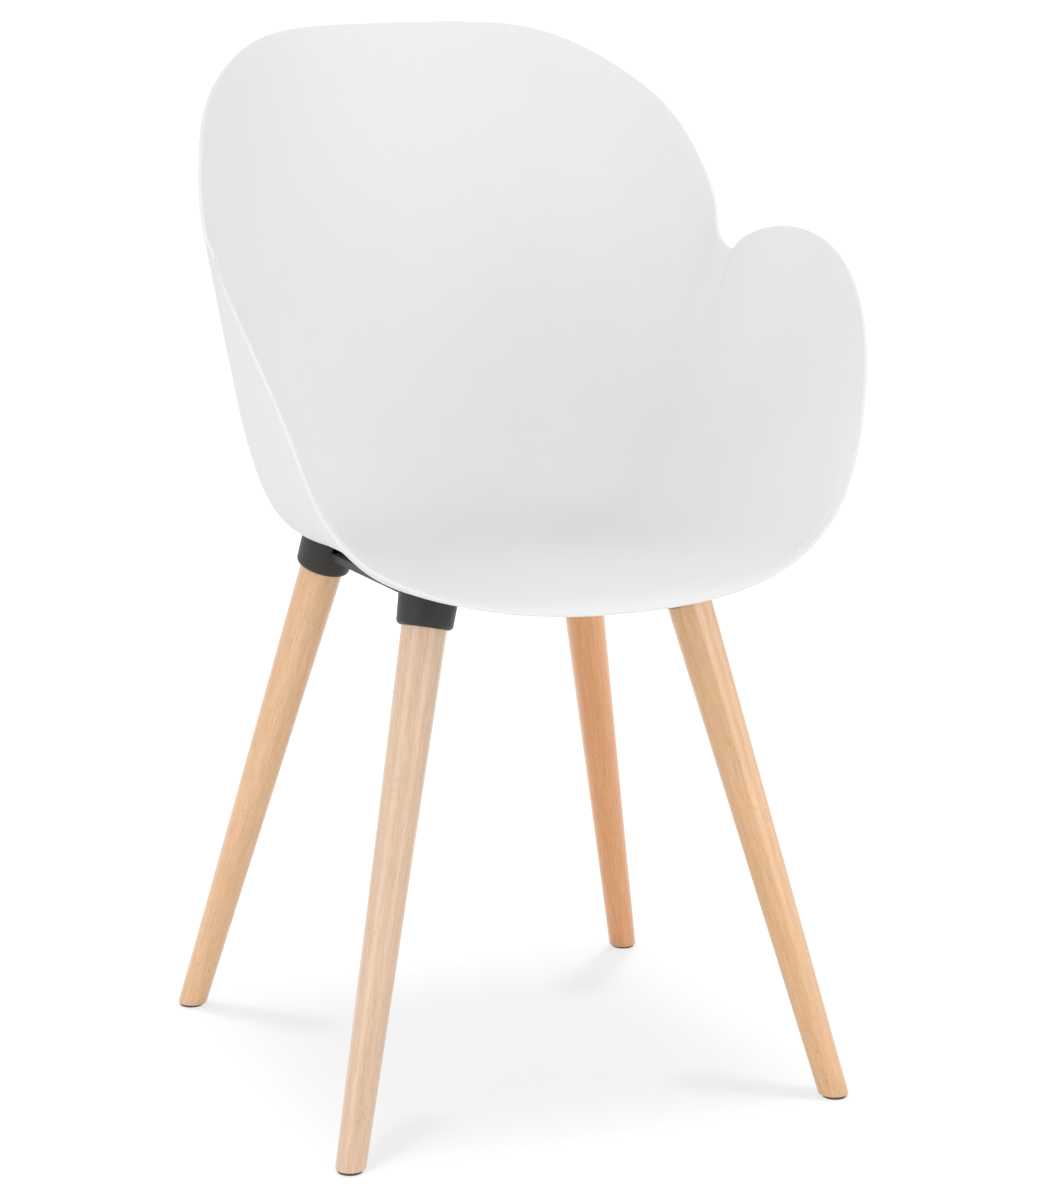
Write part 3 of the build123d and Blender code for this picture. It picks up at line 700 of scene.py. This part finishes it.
def socket_rows(end, side):
    """A turned cup round the leg's axis. Its wall rises along a flared line to the underside of the shell, or
    to the rail where the rail passes, then goes down the inside to the pad floor. Below, a quarter round leads
    to the bore, which ends at the web."""
    start, up, across, other, length = leg_axis(end, side)
    turn = full_turn(SOCKET_COLUMNS)
    radial = across * np.cos(turn)[:, None] + other * np.sin(turn)[:, None]
    low = (SEAT_HEIGHT - SOCKET_DROP) / up[2]
    web = pad_distance(end, side) - PAD_THICKNESS / 2 - SOCKET_WEB
    growth = (LEG_TOP_RADIUS - FOOT_RADIUS) / length
    low_radius = LEG_TOP_RADIUS + SOCKET_WALL

    def at(distance, radius):
        return start + np.multiply.outer(distance, up) + radius * radial

    def risen(foot, direction):
        direction = direction / np.linalg.norm(direction, axis=-1)[:, None]
        rise = reach_wall(foot, direction, -WALL / 2 - SHELL_CLEARANCE)
        under_rail = on_frame(0.0, 0.0, -RAIL_THICKNESS / 2 - PAD_CLEARANCE)
        to_rail = (under_rail - foot) @ frame_up / (direction @ frame_up)
        met = foot + to_rail[:, None] * direction
        beside = np.abs(np.abs(met[:, 0]) - RAIL_X) < RAIL_WIDTH / 2 + PAD_CLEARANCE
        inner = (met[:, 1] - start[1] - up[1] * low) * np.sign(start[1]) < 0
        return np.where(beside & inner, np.minimum(rise, to_rail), rise), direction

    bend = np.linspace(0, np.pi / 2, SOCKET_BEND_ROWS)
    bottom = [at(low + SOCKET_ROUND * (1 - np.sin(a)), low_radius - SOCKET_ROUND * (1 - np.cos(a)))
              for a in bend]
    bore_low = FOOT_RADIUS + growth * low + LEG_CLEARANCE
    bore_top = FOOT_RADIUS + growth * web + LEG_CLEARANCE
    bore = [at(low, bore_low), at(low + BORE_LEAD, bore_low), at(web, bore_top)]
    wall_foot = bottom[0]
    height, direction = risen(wall_foot, up + SOCKET_FLARE * radial)
    climb = np.linspace(1, 0, SOCKET_ROWS)[:-1, None]
    wall = [wall_foot + (share * height)[:, None] * direction for share in climb]
    pad_floor = at(web + SOCKET_WEB, PAD_RADIUS + PAD_CLEARANCE)
    cavity, straight_up = risen(pad_floor, np.broadcast_to(up, radial.shape))
    inside = [pad_floor, pad_floor + np.maximum(cavity, LEAST_RISE)[:, None] * straight_up]
    rows = np.stack(inside + wall + bottom + bore)
    return rows, [start + up * (web + SOCKET_WEB), start + up * web]


socket_finish = moulded_finish(
    "satin_charcoal_plastic", (0.021, 0.020, 0.018), (0.029, 0.027, 0.025),
    smooth=0.40, rough=0.50, grain=1100.0, cloud=22.0, depth=0.03, specular=0.35)
for end in ENDS:
    for side in SIDES:
        cup = skin(f"socket_cup_{end}_{side}", [socket_rows(end, side)])
        cup.data.materials.append(socket_finish)
        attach(cup, "root")
        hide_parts(f"leg_socket_{end}_{side}")

# Leg bolts and washers. Low-headed zinc plated bolts go down through the rail pads and the socket webs into
# the brass inserts of the legs, each on a washer. The shell covers them.
refinish(zinc, "leg_bolts", "leg_washers")

# Foot glides and nails. Hard dark grey plastic discs with a rounded lower edge, nailed to the level feet.
# The nail heads sit in a recess so that only the plastic meets the floor.
GLIDE_RADIUS = 10.0
GLIDE_ROUND = 0.8
NAIL_RECESS_RADIUS = 2.75
NAIL_RECESS_DEPTH = 1.3
RECESS_CHAMFER = 0.15
GLIDE_COLUMNS = 64
GLIDE_BEND_ROWS = 6
glide_bend = np.linspace(0, np.pi / 2, GLIDE_BEND_ROWS)
glide_profile = np.concatenate([                # radius, height
    [(NAIL_RECESS_RADIUS, NAIL_RECESS_DEPTH),
     (NAIL_RECESS_RADIUS, RECESS_CHAMFER),
     (NAIL_RECESS_RADIUS + RECESS_CHAMFER, 0.0)],
    np.column_stack([GLIDE_RADIUS - GLIDE_ROUND * (1 - np.sin(glide_bend)),
                     GLIDE_ROUND * (1 - np.cos(glide_bend))]),
    [(GLIDE_RADIUS, GLIDE_THICKNESS)],
])


def glide_rows(end, side):
    """A disc turned from its profile about the upright line through the foot."""
    turn = full_turn(GLIDE_COLUMNS)
    foot = leg_axis(end, side)[0]
    radius = glide_profile[:, :1]
    return np.stack([foot[0] + radius * np.cos(turn), foot[1] + radius * np.sin(turn),
                     glide_profile[:, 1:] + 0 * turn], axis=-1)


glide_finish = moulded_finish(
    "dark_grey_plastic", (0.045, 0.044, 0.043), (0.065, 0.064, 0.062),
    smooth=0.45, rough=0.60, grain=1400.0, cloud=60.0, depth=0.03, specular=0.4)
for end in ENDS:
    for side in SIDES:
        glide = skin(f"nailed_glide_{end}_{side}", [capped(glide_rows(end, side))])
        glide.data.materials.append(glide_finish)
        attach(glide, "root")
        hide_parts(f"foot_glide_{end}_{side}")
refinish(zinc, "glide_nails")

# Floor, light and camera. A white studio sweep under broad even light, with soft boxes in front and at the
# sides, two overhead for the shadow on the floor alone, and a long low one that shows in a front leg's lacquer.
# The view is from the front, a little from the chair's right, at just above seat height.
FLOOR_SIZE = 40
FLOOR_GAP = 0.0003
FLOOR_GLOW = 0.638
FLOOR_COLOUR = 0.21
FLOOR_BOUNCE = 0.58
STUDIO_LIGHT = 0.65
SHADOW_REACH = (0.08, 0.55)
SHADOW_ROUNDING = 0.05


def seen_directly(tree):
    """1 for what the camera sees, straight, in a reflection or through glass, and 0 for the light on things."""
    path = node(tree, "ShaderNodeLightPath")
    mirrored = node(tree, "ShaderNodeMath", {0: path.outputs["Is Glossy Ray"],
                    1: path.outputs["Is Transmission Ray"]}, operation="MAXIMUM")
    seen = node(tree, "ShaderNodeMath", {0: path.outputs["Is Camera Ray"], 1: mirrored.outputs["Value"]},
                operation="MAXIMUM")
    return seen.outputs["Value"]


floor_paint = bpy.data.materials.new("white_sweep")
floor_paint.use_nodes = True
tree = floor_paint.node_tree
tree.nodes.remove(tree.nodes["Principled BSDF"])
# The floor's own glow is weaker in a rounded square under the chair and rises to full white beyond it, so the
# real shadow shows only inside that square: its four-sided outline is painted.
reach = node(tree, "ShaderNodeVectorMath", {0: node(tree, "ShaderNodeTexCoord").outputs["Object"]},
             operation="ABSOLUTE")
sides = node(tree, "ShaderNodeSeparateXYZ", {"Vector": reach.outputs["Vector"]})
spot = node(tree, "ShaderNodeMath", {0: sides.outputs["X"], 1: sides.outputs["Y"], 2: SHADOW_ROUNDING},
            operation="SMOOTH_MAX")
fade = node(tree, "ShaderNodeMapRange", {"Value": spot.outputs["Value"], "From Min": SHADOW_REACH[0],
            "From Max": SHADOW_REACH[1], "To Min": FLOOR_GLOW, "To Max": 1.0},
            interpolation_type="SMOOTHSTEP")
glow = node(tree, "ShaderNodeMath", {0: seen_directly(tree), 1: fade.outputs["Result"]},
            operation="MULTIPLY")
shine = node(tree, "ShaderNodeEmission", {"Strength": glow.outputs["Value"]})
paint = node(tree, "ShaderNodeMapRange", {"Value": seen_directly(tree), "To Min": FLOOR_BOUNCE,
             "To Max": FLOOR_COLOUR})
matt = node(tree, "ShaderNodeBsdfDiffuse", {"Color": paint.outputs["Result"]})
both = node(tree, "ShaderNodeAddShader", {0: shine.outputs["Emission"], 1: matt.outputs["BSDF"]})
tree.links.new(both.outputs["Shader"], tree.nodes["Material Output"].inputs["Surface"])
bpy.ops.mesh.primitive_plane_add(size=FLOOR_SIZE, location=(0, 0, -FLOOR_GAP))
floor = bpy.context.object
floor.name = "studio_floor"
floor.data.materials.append(floor_paint)
world = bpy.data.worlds.new("studio")
bpy.context.scene.world = world
world.use_nodes = True
tree = world.node_tree
level = node(tree, "ShaderNodeMapRange", {"Value": seen_directly(tree), "To Min": STUDIO_LIGHT,
             "To Max": 1.0})
tree.nodes["Background"].inputs["Color"].default_value = (1, 1, 1, 1)
tree.links.new(level.outputs["Result"], tree.nodes["Background"].inputs["Strength"])
BOX_DISTANCE = 3.2
BOX_AIM = (0, 0, 0.55)
BOX_SIZE = 1.6
SHADOW_BOX_SIZE = 1.4
LEG_SHADOW_BOX_SIZE = 0.3
GLOSS_BOX_SIZE = (6.4, 1.1)


def heading(azimuth, elevation):
    """Unit direction from the chair, by the angle round from its front to its left and the angle up."""
    return Vector((np.sin(azimuth) * np.cos(elevation), -np.cos(azimuth) * np.cos(elevation),
                   np.sin(elevation)))


def soft_box(name, azimuth, elevation, size, watts):
    """A square lamp that faces the middle of the chair, from the direction given in degrees."""
    lamp = bpy.data.lights.new(name, "AREA")
    lamp.size = size
    lamp.energy = watts
    box = bpy.data.objects.new(name, lamp)
    away = heading(np.radians(azimuth), np.radians(elevation))
    box.location = Vector(BOX_AIM) + BOX_DISTANCE * away
    box.rotation_euler = away.to_track_quat("Z", "Y").to_euler()
    bpy.context.scene.collection.objects.link(box)
    return box


def alone(name, pieces):
    """Collection of the only pieces that a lamp reaches, or that stop its light."""
    group = bpy.data.collections.new(name)
    for piece in pieces:
        group.objects.link(piece)
    return group


soft_box("front_box", 20, 8, BOX_SIZE, 12.5)
soft_box("high_front_box", -22, 40, BOX_SIZE, 8.6)
soft_box("right_side_box", -65, 40, BOX_SIZE, 16.6)
soft_box("right_front_box", -65, 8, BOX_SIZE, 10.6)
soft_box("right_low_box", -110, 8, BOX_SIZE, 5.4)
soft_box("left_side_box", 65, 40, BOX_SIZE, 20.3)
floor_alone = alone("floor_alone", [floor])
shadow_box = soft_box("shadow_box", 0, 90, SHADOW_BOX_SIZE, 66)
shadow_box.light_linking.receiver_collection = floor_alone
leg_shadow_box = soft_box("leg_shadow_box", 0, 90, LEG_SHADOW_BOX_SIZE, 50)
leg_shadow_box.light_linking.receiver_collection = floor_alone
leg_shadow_box.light_linking.blocker_collection = alone("legs_alone", legs.values())
gloss_box = soft_box("gloss_box", 45, 0, GLOSS_BOX_SIZE[0], 34)
gloss_box.data.shape = "RECTANGLE"
gloss_box.data.size_y = GLOSS_BOX_SIZE[1]
gloss_box.visible_diffuse = False
gloss_box.light_linking.receiver_collection = alone("left_leg_alone", [legs["front", "left"]])
CAMERA_LENS = 110.81
CAMERA_DISTANCE = 3.0323658
CAMERA_AIM = (0.022862, 0.002, 0.386414)
camera_azimuth = np.radians(-22.67016)
camera_elevation = np.radians(13.37796)
view = bpy.data.cameras.new("photo_view")
view.lens = CAMERA_LENS
camera = bpy.data.objects.new("photo_view", view)
camera.location = Vector(CAMERA_AIM) + heading(camera_azimuth, camera_elevation) * CAMERA_DISTANCE
camera.rotation_euler = (np.pi / 2 - camera_elevation, 0, camera_azimuth)
bpy.context.scene.collection.objects.link(camera)
bpy.context.scene.camera = camera
bpy.context.scene.view_settings.view_transform = "Standard"
